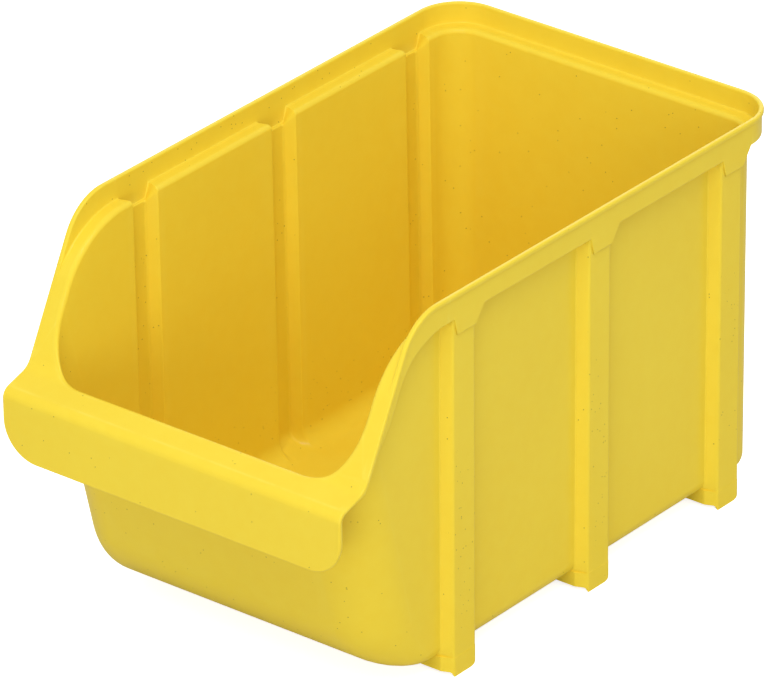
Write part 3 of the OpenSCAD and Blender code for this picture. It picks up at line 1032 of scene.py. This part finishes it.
class Moulding:
    """Cuts the sheet into closed pieces and makes their meshes."""

    # features that cross the middle of the bin
    FULL = {"front_sweep", "front_wall", "back_wall", "rim_back", "ledge_back", "front_lip",
            "front_apron"}
    # steps in a millimetre when points are welded
    WELD = 2000.0
    # how strongly the flat floor holds the shading at its edge, in square millimetres
    FLOOR_HOLD = 60.0

    def __init__(self, size: BinSizes) -> None:
        """Build the sheet and the shared normals.

        Args:
            size: sizes of the bin.
        """
        self.sheet = Sheet(size)
        self.pts = np.array(self.sheet.points)
        self.weld = self.weld_ids()
        self.normals = self.shared_normals()

    def weld_ids(self) -> np.ndarray:
        """Give points that lie on each other one number.

        Returns:
            For each point, the number of the first point that lies there.
        """
        keys: dict[tuple, int] = {}
        ids = np.zeros(len(self.pts), int)
        for i, p in enumerate(np.round(self.pts * self.WELD).astype(int)):
            ids[i] = keys.setdefault((p[0], p[1], p[2]), i)
        return ids

    def cell_faces(self, cell: tuple) -> list[tuple[int, ...]]:
        """Skin faces of a cell.

        Args:
            cell: a cell of the sheet or of a free edge.

        Returns:
            The faces on the moulding's surface.
        """
        if cell[0] == "sheet":
            a, b, c, d = cell[1:]
            return [(a[0], b[0], c[0], d[0]), (d[1], c[1], b[1], a[1])]
        p, q = cell[1:]
        return [(p[k], q[k], q[k + 1], p[k + 1]) for k in range(len(p) - 1)]

    def walls(self, cell: tuple) -> dict[tuple, tuple[int, ...]]:
        """Inner walls of a cell, keyed so that two cells that meet give the same key.

        Args:
            cell: a cell of the sheet or of a free edge.

        Returns:
            Each key with the points of its wall.
        """
        out = {}
        if cell[0] == "sheet":
            ring = cell[1:]
            for k in range(4):
                a, b = ring[k], ring[(k + 1) % 4]
                if a != b:
                    out[tuple(sorted((a, b)))] = (b[0], a[0], a[1], b[1])
            return out
        p, q = cell[1:]
        out[tuple(sorted(((p[0], p[-1]), (q[0], q[-1]))))] = (q[0], p[0], p[-1], q[-1])
        out["end", p] = tuple(p)
        out["end", q] = tuple(reversed(q))
        return out

    def shared_normals(self) -> np.ndarray:
        """Area-weighted direction at each point of the uncut sheet.

        Returns:
            One direction for each point.
        """
        total = np.zeros_like(self.pts)
        w = self.weld
        for cells in self.sheet.cells.values():
            for cell in cells:
                for f in self.cell_faces(cell):
                    a, b, c, d = (self.pts[k] for k in f)
                    nrm = 0.5 * np.cross(c - a, d - b)
                    for k in set(int(w[x]) for x in f):
                        total[k] += nrm
        for ids, sign in ((0, -1.0), (1, 1.0)):
            for pair in self.sheet.floor_loop:
                total[w[pair[ids]]] += np.array([0, 0, sign * self.FLOOR_HOLD])
        for k in self.sheet.centre:
            total[w[k], 0] = 0.0
        size = np.linalg.norm(total, axis=1)
        total[size > 0] /= size[size > 0][:, None]
        return total[w]

    def close(self, cells: list[tuple], full: bool) -> Shell:
        """Close a set of cells with walls where they were cut from the rest.

        Args:
            cells: the cells of one feature.
            full: True if the feature crosses the middle of the bin, which stays open here.

        Returns:
            The faces of the piece.
        """
        shell, walls, seen = Shell(), {}, {}
        for cell in cells:
            for f in self.cell_faces(cell):
                shell.add(tuple(int(self.weld[k]) for k in f), True)
            for key, wall in self.walls(cell).items():
                seen[key] = seen.get(key, 0) + 1
                walls[key] = wall
        for key, count in seen.items():
            if count == 1:
                wall = walls[key]
                if full and all(k in self.sheet.centre for k in wall):
                    continue
                ids = []
                for k in wall:
                    k = int(self.weld[k])
                    if k not in ids:
                        ids.append(k)
                shell.add(tuple(ids), False)
        return shell

    def floor(self) -> Shell:
        """The flat floor inside the rounded bottom edge, right half.

        Returns:
            The faces of the half floor.
        """
        shell = Shell()
        loop = self.sheet.floor_loop
        out = [int(self.weld[p[0]]) for p in loop]
        inn = [int(self.weld[p[1]]) for p in loop]
        for k in range(len(loop) - 1):
            shell.add((out[k + 1], out[k], inn[k], inn[k + 1]), False)
        shell.add(tuple(dict.fromkeys(reversed(out))), True)
        shell.add(tuple(dict.fromkeys(inn)), True)
        return shell

    def piece(self, name: str, shell: Shell, hand: Hand) -> bpy.types.Object:
        """Make the object of one piece.

        Args:
            name: name of the object.
            shell: its faces, drawn for the right side.
            hand: side on which it is made, or both halves joined.

        Returns:
            The new object.
        """
        verts: dict[tuple, int] = {}
        coords, faces, lit = [], [], []
        for flip in ((False, True) if hand is Hand.BOTH else (hand is Hand.LEFT,)):
            sign = -1.0 if flip else 1.0
            for ids, skin in zip(shell.faces, shell.is_skin):
                loop, dirs = [], []
                for k in ids:
                    p = self.pts[k]
                    x = 0.0 if abs(p[0]) < 0.01 else p[0]
                    key = (round(x * sign * 1000), round(p[1] * 1000), round(p[2] * 1000))
                    if key not in verts:
                        verts[key] = len(coords)
                        coords.append((x * sign * MM, p[1] * MM, p[2] * MM))
                    if verts[key] in loop:
                        continue
                    loop.append(verts[key])
                    nrm = self.normals[k] * np.array([sign, 1, 1])
                    dirs.append(tuple(nrm) if skin else None)
                if len(loop) < 3:
                    continue
                if flip:
                    loop, dirs = loop[::-1], dirs[::-1]
                faces.append(loop)
                lit.append(dirs)
        mesh = bpy.data.meshes.new(name)
        mesh.from_pydata(coords, [], faces)
        mesh.polygons.foreach_set("use_smooth", [True] * len(faces))
        loops = []
        for poly, dirs in zip(mesh.polygons, lit):
            for d in dirs:
                nrm = d if d is not None else tuple(poly.normal)
                loops.append(nrm if sum(c * c for c in nrm) > 0.1 else tuple(poly.normal))
        mesh.normals_split_custom_set(loops)
        return put_in_scene(name, mesh)

    def pieces(self) -> list[tuple[bpy.types.Object, list[str]]]:
        """Make every piece of the moulding.

        Returns:
            Each object with the frame nodes it stands for.
        """
        made = [(self.piece("moulded_floor_pan", self.floor(), Hand.BOTH), ["floor_pan"])]
        for feature, cells in sorted(self.sheet.cells.items()):
            full = feature in self.FULL
            shell = self.close(cells, full)
            if full:
                made.append((self.piece(f"moulded_{feature}", shell, Hand.BOTH), [feature]))
                continue
            for hand in (Hand.RIGHT, Hand.LEFT):
                base, _, number = feature.partition("_") if feature[-1].isdigit() else (feature, "", "")
                node = f"{base}_{hand.value}_{number}" if number else f"{base}_{hand.value}"
                stands = [node]
                if feature == "rim":
                    stands += [f"tab_{hand.value}_{k}" for k in (1, 2, 3)]
                made.append((self.piece(f"moulded_{node}", shell, hand), stands))
        return made


@dataclass(frozen=True)
class FootSizes:
    """Sizes of the foot under a rib, in millimetres."""

    top: float = 10.6
    web: float = 2.8
    reach: float = 22.0
    cross_up: float = 2.6
    web_r: float = 0.5
    edge: float = 0.45
    proud: float = 0.12
    arc_steps: int = 4
    runs: tuple[int, ...] = (6, 5, 14, 5, 6)
    face_in: float = 1.7


class Foot:
    """The stacking foot under a rib: its outer web and the two webs that run in under the floor."""

    # edges that bend by more than this, in radians, are sharp
    SHARP = 0.6

    def __init__(self, size: BinSizes, foot: FootSizes) -> None:
        """Keep the sizes and work out the corners and the lower edge.

        Args:
            size: sizes of the bin.
            foot: sizes of the foot.
        """
        self.s, self.f = size, foot
        wall = size.wall_x_low + foot.proud
        face = wall + size.rib_depth
        w = size.rib_half_out + foot.proud
        root = w + size.rib_flare
        x0 = size.half_width - foot.face_in - foot.reach
        up = foot.cross_up
        self.corners = [np.array(c) for c in ((x0, -root), (wall, -root), (face, -w), (face, w),
                                              (wall, root), (x0, root))]
        # plan and height of the corners of the lower edge, from the front web round to the rear one
        self.edge_line = np.array([(x0, -root, up + 2.2), (x0 + 2.4, -root, up), (wall, -root, up),
                                   (face - 1.2, -w - 0.6, up * 0.9), (face, -w, 0.0), (face, w - 3.2, 0.0),
                                   (face, w - 0.8, 0.9), (face, w, 2.8), (wall, root, up + 0.4),
                                   (x0 + 2.4, root, up), (x0, root, up + 2.2)])

    def inset(self) -> list[np.ndarray]:
        """Set the corners in by the thickness of the web.

        Returns:
            The corners of the inner face.
        """
        c = self.corners
        ways = [unit(b - a) for a, b in zip(c, c[1:])]
        sides = [np.array([-w[1], w[0]]) for w in ways]
        sides = [sides[0], *sides, sides[-1]]
        return [p + (a + b) * self.f.web / (1.0 + a @ b) for p, a, b in zip(c, sides, sides[1:])]

    def track(self, corners: list[np.ndarray], radii: list[float]) -> list[np.ndarray]:
        """Round a face of the foot in plan and space points along it.

        Args:
            corners: corners of the face.
            radii: one radius for each corner between the two ends.

        Returns:
            Points in plan, from front to rear.
        """
        steps = self.f.arc_steps
        pts = rounded_path(corners, radii, steps)
        out, k = [pts[0]], 0
        for run in self.f.runs:
            out += [mix(pts[k], pts[k + 1], q / run) for q in range(1, run + 1)]
            out += list(pts[k + 2:k + 2 + steps])
            k += 1 + steps
        return out

    def lower(self, p: np.ndarray) -> float:
        """Height of the lower edge at a point in plan.

        Args:
            p: the point.

        Returns:
            The height of the nearest place on the lower edge.
        """
        best = (math.inf, 0.0)
        for a, b in zip(self.edge_line, self.edge_line[1:]):
            way = (b - a)[:2]
            t = float(np.clip((p - a[:2]) @ way / (way @ way), 0, 1))
            best = min(best, (float(np.linalg.norm(a[:2] + way * t - p)), mix(a[2], b[2], t)))
        return best[1]

    def make(self, name: str, centre: float, hand: Hand) -> bpy.types.Object:
        """Make one foot.

        Args:
            name: name of the object.
            centre: depth of the middle of its rib.
            hand: side of the bin.

        Returns:
            The new object.
        """
        f, s = self.f, self.s
        plan = self.track(self.corners, [f.web_r, s.rib_edge_r, s.rib_edge_r, f.web_r])
        inner = self.track(self.inset(), [f.web_r] * 4)
        bm = bmesh.new()
        rows = []
        for (x, y), (u, v) in zip(plan, inner):
            low = self.lower(np.array([x, y]))
            rows.append([bm.verts.new((a * MM, (centre + b) * MM, z * MM))
                         for a, b, z in ((x, y, low), (x, y, f.top), (u, v, f.top), (u, v, low))])
        for a, b in zip(rows, rows[1:]):
            for k in range(4):
                m = (k + 1) % 4
                bm.faces.new((a[k], a[m], b[m], b[k]))
        bm.faces.new(rows[0])
        bm.faces.new(rows[-1][::-1])
        if hand is Hand.LEFT:
            bmesh.ops.scale(bm, vec=(-1, 1, 1), verts=bm.verts)
        bmesh.ops.recalc_face_normals(bm, faces=bm.faces)
        sharp = [e for e in bm.edges
                 if e.calc_face_angle(0.0) > self.SHARP and max(p.co.z for p in e.verts) < 0.7 * f.top * MM]
        bmesh.ops.bevel(bm, geom=sharp, offset=f.edge * MM, segments=2, profile=0.5, affect="EDGES",
                        clamp_overlap=True)
        # the top edges stay sharp, where the foot meets the rib and the floor
        for e in bm.edges:
            e.smooth = (e.calc_face_angle(0.0) < self.SHARP
                        or min(p.co.z for p in e.verts) < 0.9 * f.top * MM)
        mesh = bpy.data.meshes.new(name)
        bm.to_mesh(mesh)
        bm.free()
        mesh.polygons.foreach_set("use_smooth", [True] * len(mesh.polygons))
        obj = put_in_scene(name, mesh)
        weighted = obj.modifiers.new("even shading", "WEIGHTED_NORMAL")
        weighted.keep_sharp = True
        return obj


class NodeKit:
    """Short ways to add and join shader nodes."""

    def __init__(self, tree: bpy.types.NodeTree) -> None:
        """Work on one node tree."""
        self.tree = tree

    def add(self, kind: str, **values) -> bpy.types.Node:
        """Add a node and set its properties.

        Args:
            kind: type of the node.
            values: its properties.

        Returns:
            The new node.
        """
        node = self.tree.nodes.new(kind)
        for key, value in values.items():
            setattr(node, key, value)
        return node

    def join(self, a: Socket, b: Socket) -> None:
        """Join an output to an input."""
        self.tree.links.new(a, b)

    def feed(self, value: Value, socket: Socket) -> None:
        """Give an input a number, or join a socket to it."""
        if isinstance(value, (int, float)):
            socket.default_value = value
        else:
            self.join(value, socket)

    def place(self) -> Socket:
        """Return the place on the object."""
        return self.add("ShaderNodeTexCoord").outputs["Object"]

    def math(self, op: str, a: Value, b: Value, clamp: bool = False) -> Socket:
        """Add a math node of two inputs.

        Args:
            op: the operation.
            a: first input.
            b: second input.
            clamp: True to keep the result from 0 to 1.

        Returns:
            Its output.
        """
        node = self.add("ShaderNodeMath", operation=op, use_clamp=clamp)
        self.feed(a, node.inputs[0])
        self.feed(b, node.inputs[1])
        return node.outputs[0]

    def noise(self, place: Socket, scale: Value, detail: float, rough: float = 0.5) -> Socket:
        """Add a noise node.

        Args:
            place: where it is read.
            scale: how fine it is.
            detail: how many finer layers it has.
            rough: how strong the finer layers are.

        Returns:
            Its value output.
        """
        node = self.add("ShaderNodeTexNoise")
        self.join(place, node.inputs["Vector"])
        self.feed(scale, node.inputs["Scale"])
        node.inputs["Detail"].default_value = detail
        node.inputs["Roughness"].default_value = rough
        return node.outputs[0]

    def ramp(self, value: Socket, lo: float, hi: float) -> Socket:
        """Map a value to the range from 0 to 1, eased and clamped.

        Args:
            value: the value.
            lo: what gives 0.
            hi: what gives 1.

        Returns:
            The mapped value.
        """
        node = self.add("ShaderNodeMapRange", interpolation_type="SMOOTHSTEP", clamp=True)
        self.join(value, node.inputs["Value"])
        node.inputs["From Min"].default_value = lo
        node.inputs["From Max"].default_value = hi
        return node.outputs[0]

    def blend(self, amount: Socket, a: Union[Colour, Socket], b: Union[Colour, Socket]) -> Socket:
        """Mix two colours.

        Args:
            amount: how much of the second colour there is.
            a: first colour, plain or a socket.
            b: second colour, plain or a socket.

        Returns:
            The mixed colour.
        """
        node = self.add("ShaderNodeMix", data_type="RGBA")
        self.join(amount, node.inputs["Factor"])
        for key, value in (("A", a), ("B", b)):
            socket = next(s for s in node.inputs if s.name == key and s.type == "RGBA")
            if isinstance(value, tuple):
                socket.default_value = (*value, 1.0)
            else:
                self.join(value, socket)
        return next(s for s in node.outputs if s.type == "RGBA")


class EffectGroups:
    """Shader node groups for effects that several finishes share."""

    def __init__(self) -> None:
        """Build each group once."""
        self.grain = self.make_grain()
        self.specks = self.make_specks()
        self.flow = self.make_flow()
        self.scuffs = self.make_scuffs()
        self.wear_and_highlight = self.make_wear_and_highlight()

    def start(self, name: str, inputs: dict[str, float],
              outputs: list[str]) -> tuple[bpy.types.NodeTree, NodeKit, bpy.types.Node, bpy.types.Node]:
        """Create an empty group.

        Args:
            name: name of the group.
            inputs: input names with their default values.
            outputs: output names.

        Returns:
            The group, its kit, its input node and its output node.
        """
        group = bpy.data.node_groups.new(name, "ShaderNodeTree")
        for key, value in inputs.items():
            socket = group.interface.new_socket(name=key, in_out="INPUT", socket_type="NodeSocketFloat")
            socket.default_value = value
        for key in outputs:
            group.interface.new_socket(name=key, in_out="OUTPUT", socket_type="NodeSocketFloat")
        kit = NodeKit(group)
        return group, kit, kit.add("NodeGroupInput"), kit.add("NodeGroupOutput")

    def make_grain(self) -> bpy.types.NodeTree:
        """Fine leathery grain of the mould.

        Returns:
            The node group.
        """
        group, kit, src, dst = self.start("mould_grain", {"Scale": 900.0, "Amount": 1.0}, ["Height"])
        place = kit.place()
        fine = kit.noise(place, src.outputs["Scale"], 3.0, 0.6)
        broad = kit.noise(place, kit.math("MULTIPLY", src.outputs["Scale"], 0.22), 2.0)
        both = kit.math("ADD", kit.math("MULTIPLY", fine, 0.65), kit.math("MULTIPLY", broad, 0.35))
        kit.join(kit.math("MULTIPLY", both, src.outputs["Amount"]), dst.inputs["Height"])
        return group

    def make_specks(self) -> bpy.types.NodeTree:
        """Sparse tiny specks in the plastic.

        Returns:
            The node group.
        """
        group, kit, src, dst = self.start("fine_specks", {"Scale": 320.0, "Size": 0.1, "Share": 0.3},
                                          ["Mask"])
        place = kit.place()
        cells = kit.add("ShaderNodeTexVoronoi", feature="F1")
        kit.join(place, cells.inputs["Vector"])
        kit.join(src.outputs["Scale"], cells.inputs["Scale"])
        near = kit.math("LESS_THAN", cells.outputs["Distance"], src.outputs["Size"])
        split = kit.add("ShaderNodeSeparateColor")
        kit.join(cells.outputs["Color"], split.inputs[0])
        chosen = kit.math("LESS_THAN", split.outputs[0], src.outputs["Share"])
        kit.join(kit.math("MULTIPLY", near, chosen), dst.inputs["Mask"])
        return group

    def make_flow(self) -> bpy.types.NodeTree:
        """Broad cloudy change in the plastic, as it filled the mould.

        Returns:
            The node group.
        """
        group, kit, src, dst = self.start("melt_flow", {"Scale": 9.0}, ["Cloud", "Mottle"])
        place = kit.place()
        cloud = kit.noise(place, src.outputs["Scale"], 3.0)
        mottle = kit.noise(place, kit.math("MULTIPLY", src.outputs["Scale"], 14.0), 4.0, 0.6)
        kit.join(kit.ramp(cloud, 0.3, 0.7), dst.inputs["Cloud"])
        kit.join(kit.ramp(mottle, 0.3, 0.7), dst.inputs["Mottle"])
        return group

    def make_scuffs(self) -> bpy.types.NodeTree:
        """Thin scuffs from parts and other bins.

        Returns:
            The node group.
        """
        group, kit, src, dst = self.start("light_scuffs", {"Scale": 40.0, "Share": 0.5}, ["Mask"])
        place = kit.place()
        stretch = kit.add("ShaderNodeMapping")
        stretch.inputs["Rotation"].default_value = (0.35, 0.5, 0.9)
        stretch.inputs["Scale"].default_value = (0.12, 2.6, 1.0)
        kit.join(place, stretch.inputs["Vector"])
        lines = kit.noise(stretch.outputs[0], src.outputs["Scale"], 5.0, 0.7)
        patch = kit.noise(place, kit.math("MULTIPLY", src.outputs["Scale"], 0.3), 2.0)
        mask = kit.math("MULTIPLY", kit.ramp(lines, 0.62, 0.74), kit.ramp(patch, 0.45, 0.62))
        kit.join(kit.math("MULTIPLY", mask, src.outputs["Share"], True), dst.inputs["Mask"])
        return group

    def make_wear_and_highlight(self) -> bpy.types.NodeTree:
        """Polished, paler convex edges: partly real wear, partly a painted highlight along the edges.

        Returns:
            The node group.
        """
        group, kit, src, dst = self.start("edge_wear", {"Amount": 0.5, "Scale": 60.0}, ["Mask"])
        geo = kit.add("ShaderNodeNewGeometry")
        place = kit.place()
        # pointiness picks out convex edges, which are painted paler: partly wear, partly a painted
        # highlight
        edge = kit.ramp(geo.outputs["Pointiness"], 0.52, 0.58)
        broken = kit.ramp(kit.noise(place, src.outputs["Scale"], 4.0, 0.65), 0.3, 0.65)
        mask = kit.math("MULTIPLY", edge, broken)
        kit.join(kit.math("MULTIPLY", mask, src.outputs["Amount"], True), dst.inputs["Mask"])
        return group


@dataclass(frozen=True)
class YellowPlastic:
    """Semi-gloss yellow polypropylene, with how worn and how grained it is, and how strongly its convex
    edges carry a painted highlight.
    """

    name: str
    base: Colour = (0.90, 0.68, 0.050)
    deep: Colour = (0.89, 0.66, 0.047)
    pale: Colour = (0.92, 0.73, 0.068)
    # pale colour of scuffs, of worn edges and of the painted highlight along convex edges
    worn_and_highlit: Colour = (0.93, 0.76, 0.10)
    speck: Colour = (0.22, 0.15, 0.02)
    ior: float = 1.49
    specular: float = 0.08
    coat: float = 0.16
    coat_rough: float = 0.12
    gloss: float = 0.34
    gloss_spread: float = 0.07
    flow_scale: float = 9.0
    mottle: float = 0.22
    grain_scale: float = 900.0
    grain: float = 0.05
    grain_depth: float = 0.0002
    # strength and scale of the pale convex edges, which are partly wear and partly a painted highlight
    wear_and_highlight: float = 0.12
    wear_and_highlight_scale: float = 60.0
    wear_polish: float = 0.06
    scuff: float = 0.35
    scuff_scale: float = 42.0
    scuff_pale: float = 0.5
    scuff_rough: float = 0.18
    scuff_cut: float = 0.4
    speck_share: float = 0.08
    speck_scale: float = 430.0
    speck_size: float = 0.14
    speck_depth: float = 0.7

    def material(self, groups: EffectGroups) -> bpy.types.Material:
        """Build the material.

        Args:
            groups: the shared effects.

        Returns:
            The new material.
        """
        mat = bpy.data.materials.new(self.name)
        mat.use_nodes = True
        kit = NodeKit(mat.node_tree)
        mat.node_tree.nodes.clear()
        shader = kit.add("ShaderNodeBsdfPrincipled")
        out = kit.add("ShaderNodeOutputMaterial")
        kit.join(shader.outputs[0], out.inputs[0])
        for key, value in (("IOR", self.ior), ("Specular IOR Level", self.specular),
                           ("Coat Weight", self.coat), ("Coat Roughness", self.coat_rough)):
            shader.inputs[key].default_value = value
        flow = self.use(kit, groups.flow, {"Scale": self.flow_scale})
        specks = self.use(kit, groups.specks, {"Scale": self.speck_scale, "Size": self.speck_size,
                                               "Share": self.speck_share}).outputs["Mask"]
        scuffs = self.use(kit, groups.scuffs, {"Scale": self.scuff_scale,
                                               "Share": self.scuff}).outputs["Mask"]
        wear_and_highlight = self.use(kit, groups.wear_and_highlight, {"Amount": self.wear_and_highlight, "Scale": self.wear_and_highlight_scale}).outputs["Mask"]
        grain = self.use(kit, groups.grain, {"Scale": self.grain_scale, "Amount": 1.0}).outputs["Height"]
        mottle = flow.outputs["Mottle"]
        colour = kit.blend(flow.outputs["Cloud"], self.base, self.deep)
        colour = kit.blend(kit.math("MULTIPLY", mottle, self.mottle), colour, self.pale)
        # scuffs and convex edges take the pale colour; on the edges it is partly wear and partly a painted
        # highlight
        worn_and_highlit = kit.math("MAXIMUM", wear_and_highlight, kit.math("MULTIPLY", scuffs, self.scuff_pale))
        colour = kit.blend(worn_and_highlit, colour, self.worn_and_highlit)
        colour = kit.blend(kit.math("MULTIPLY", specks, self.speck_depth), colour, self.speck)
        kit.join(colour, shader.inputs["Base Color"])
        rough = kit.math("ADD", kit.math("MULTIPLY", mottle, self.gloss_spread), self.gloss)
        rough = kit.math("ADD", rough, kit.math("MULTIPLY", scuffs, self.scuff_rough))
        rough = kit.math("SUBTRACT", rough, kit.math("MULTIPLY", wear_and_highlight, self.wear_polish))
        kit.join(rough, shader.inputs["Roughness"])
        bump = kit.add("ShaderNodeBump")
        bump.inputs["Strength"].default_value = self.grain
        bump.inputs["Distance"].default_value = self.grain_depth
        height = kit.math("SUBTRACT", grain, kit.math("MULTIPLY", scuffs, self.scuff_cut))
        kit.join(height, bump.inputs["Height"])
        kit.join(bump.outputs[0], shader.inputs["Normal"])
        return mat

    def use(self, kit: NodeKit, group: bpy.types.NodeTree, values: dict[str, float]) -> bpy.types.Node:
        """Place a shared effect with this finish's own values.

        Args:
            kit: the material's kit.
            group: the effect.
            values: the inputs to set.

        Returns:
            The placed group.
        """
        node = kit.add("ShaderNodeGroup")
        node.node_tree = group
        for key, value in values.items():
            node.inputs[key].default_value = value
        return node


@dataclass(frozen=True)
class Studio:
    """Pale floor, soft lights and the camera.

    The distance, the shifts and the aim of the camera are in millimetres, the rest is in metres.
    """

    floor_r: float = 60.0
    floor_lit: Colour = (0.65, 0.65, 0.65)
    floor_seen: Colour = (0.95, 0.95, 0.95)
    floor_glow: float = 0.8
    surround: float = 0.64
    lamp_aim: tuple[float, float, float] = (0.0, 0.0, 0.1)
    lens: float = 409.65
    azimuth: float = math.radians(39.13)
    elevation: float = math.radians(27.55)
    roll: float = math.radians(-0.75)
    distance: float = 4370.7
    shift_right: float = -115.23
    shift_up: float = -146.95
    aim: tuple[float, float, float] = (0.0, 175.0, 209.0)

    def floor(self) -> None:
        """Make the pale floor as a large disc."""
        bm = bmesh.new()
        bmesh.ops.create_circle(bm, cap_ends=True, cap_tris=False, segments=96, radius=self.floor_r)
        mesh = bpy.data.meshes.new("studio_floor")
        bm.to_mesh(mesh)
        bm.free()
        obj = put_in_scene("studio_floor", mesh)
        mat = bpy.data.materials.new("pale_floor")
        mat.use_nodes = True
        kit = NodeKit(mat.node_tree)
        shader = mat.node_tree.nodes["Principled BSDF"]
        # the floor throws back less light than it shows, so that it does not flood the walls
        seen = kit.add("ShaderNodeLightPath").outputs["Is Camera Ray"]
        kit.join(kit.blend(seen, self.floor_lit, self.floor_seen), shader.inputs["Base Color"])
        kit.join(kit.math("MULTIPLY", seen, self.floor_glow), shader.inputs["Emission Strength"])
        shader.inputs["Roughness"].default_value = 0.9
        shader.inputs["Specular IOR Level"].default_value = 0.1
        shader.inputs["Emission Color"].default_value = (1, 1, 1, 1)
        mesh.materials.append(mat)

    def lamp(self, name: str, place: tuple[float, float, float], size: float, power: float) -> None:
        """Add a soft area light that faces the bin.

        Args:
            name: name of the light.
            place: where it hangs.
            size: side of the square light.
            power: power in watts.
        """
        data = bpy.data.lights.new(name, "AREA")
        data.shape = "SQUARE"
        data.size = size
        data.energy = power
        obj = put_in_scene(name, data)
        obj.location = place
        obj.rotation_euler = (Vector(self.lamp_aim) - Vector(place)).to_track_quat("-Z", "Y").to_euler()

    def lights(self) -> None:
        """Add the soft lights and the even surround."""
        world = bpy.data.worlds.new("even_surround")
        bpy.context.scene.world = world
        world.use_nodes = True
        back = world.node_tree.nodes["Background"]
        back.inputs["Color"].default_value = (1, 1, 1, 1)
        back.inputs["Strength"].default_value = self.surround
        self.lamp("key_light", (0.99, -0.83, 2.43), 1.5, 23.0)
        self.lamp("low_light", (1.15, -2.35, 0.45), 1.2, 15.5)
        self.lamp("rear_light", (-1.3, 2.3, 1.3), 1.5, 14.0)
        self.lamp("glint_light", (0.3, -1.2, 2.3), 0.08, 5.5)

    def camera(self) -> None:
        """Place the long-lens camera."""
        a, e = self.azimuth, self.elevation
        back = Vector((math.sin(a) * math.cos(e), -math.cos(a) * math.cos(e), math.sin(e)))
        right = Vector((math.cos(a), math.sin(a), 0.0))
        up = back.cross(right)
        r = right * math.cos(self.roll) + up * math.sin(self.roll)
        u = -right * math.sin(self.roll) + up * math.cos(self.roll)
        place = Vector(self.aim) + r * self.shift_right + u * self.shift_up + back * self.distance
        data = bpy.data.cameras.new("camera")
        data.lens = self.lens
        data.sensor_width = 36.0
        data.clip_end = 200.0
        obj = put_in_scene("camera", data)
        turn = Matrix((r, u, back)).transposed().to_4x4()
        obj.matrix_world = Matrix.Translation(place * MM) @ turn
        bpy.context.scene.camera = obj


class StackingBin:
    """The whole bin: the moulding, its feet and their finishes."""

    SLOT = "yellow_plastic"

    def __init__(self, size: BinSizes) -> None:
        """Keep the sizes and build the finishes.

        Args:
            size: sizes of the bin.
        """
        self.size = size
        groups = EffectGroups()
        self.wall_finish = YellowPlastic("yellow_wall").material(groups)
        # the rim's stronger edge mask paints a highlight along its convex edges as well as wear
        self.rim_finish = YellowPlastic("yellow_rim", gloss=0.30, grain=0.03, wear_and_highlight=0.5, scuff=0.4,
                                        speck_share=0.03).material(groups)
        self.foot_finish = YellowPlastic("yellow_foot", gloss=0.36, wear_and_highlight=0.0, scuff=0.4).material(groups)

    def dress(self, obj: bpy.types.Object, finish: bpy.types.Material, nodes: list[str]) -> None:
        """Give a piece its finish and tie it to the frame.

        Args:
            obj: the piece.
            finish: its material.
            nodes: the frame nodes it stands for.
        """
        obj.data.materials.append(finish)
        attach(obj, "root")
        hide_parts(*nodes)
        LOG.info("%s stands for %s, %d faces", obj.name, ", ".join(nodes), len(obj.data.polygons))

    def build(self) -> None:
        """Make and dress every piece."""
        edges = ("rim", "ledge", "slope", "front_lip", "front_apron")
        for obj, nodes in Moulding(self.size).pieces():
            on_edge = any(word in obj.name for word in edges)
            self.dress(obj, self.rim_finish if on_edge else self.wall_finish, nodes)
        foot = Foot(self.size, FootSizes())
        for hand in (Hand.RIGHT, Hand.LEFT):
            for k, y in enumerate(self.size.rib_y, start=1):
                node = f"foot_{hand.value}_{k}"
                self.dress(foot.make(f"moulded_{node}", y, hand), self.foot_finish, [node])


def main() -> None:
    """Build the bin and its studio."""
    logging.basicConfig(level=logging.INFO, format="%(message)s")
    low, high = (Vector(corner) / MM for corner in CAD_BOX)
    size = BinSizes(half_width=high.x, y_front=low.y, y_back=high.y, rim_z=high.z)
    StackingBin(size).build()
    studio = Studio()
    studio.floor()
    studio.lights()
    studio.camera()
    bpy.context.scene.view_settings.view_transform = "Standard"


if __name__ == "__main__":
    main()
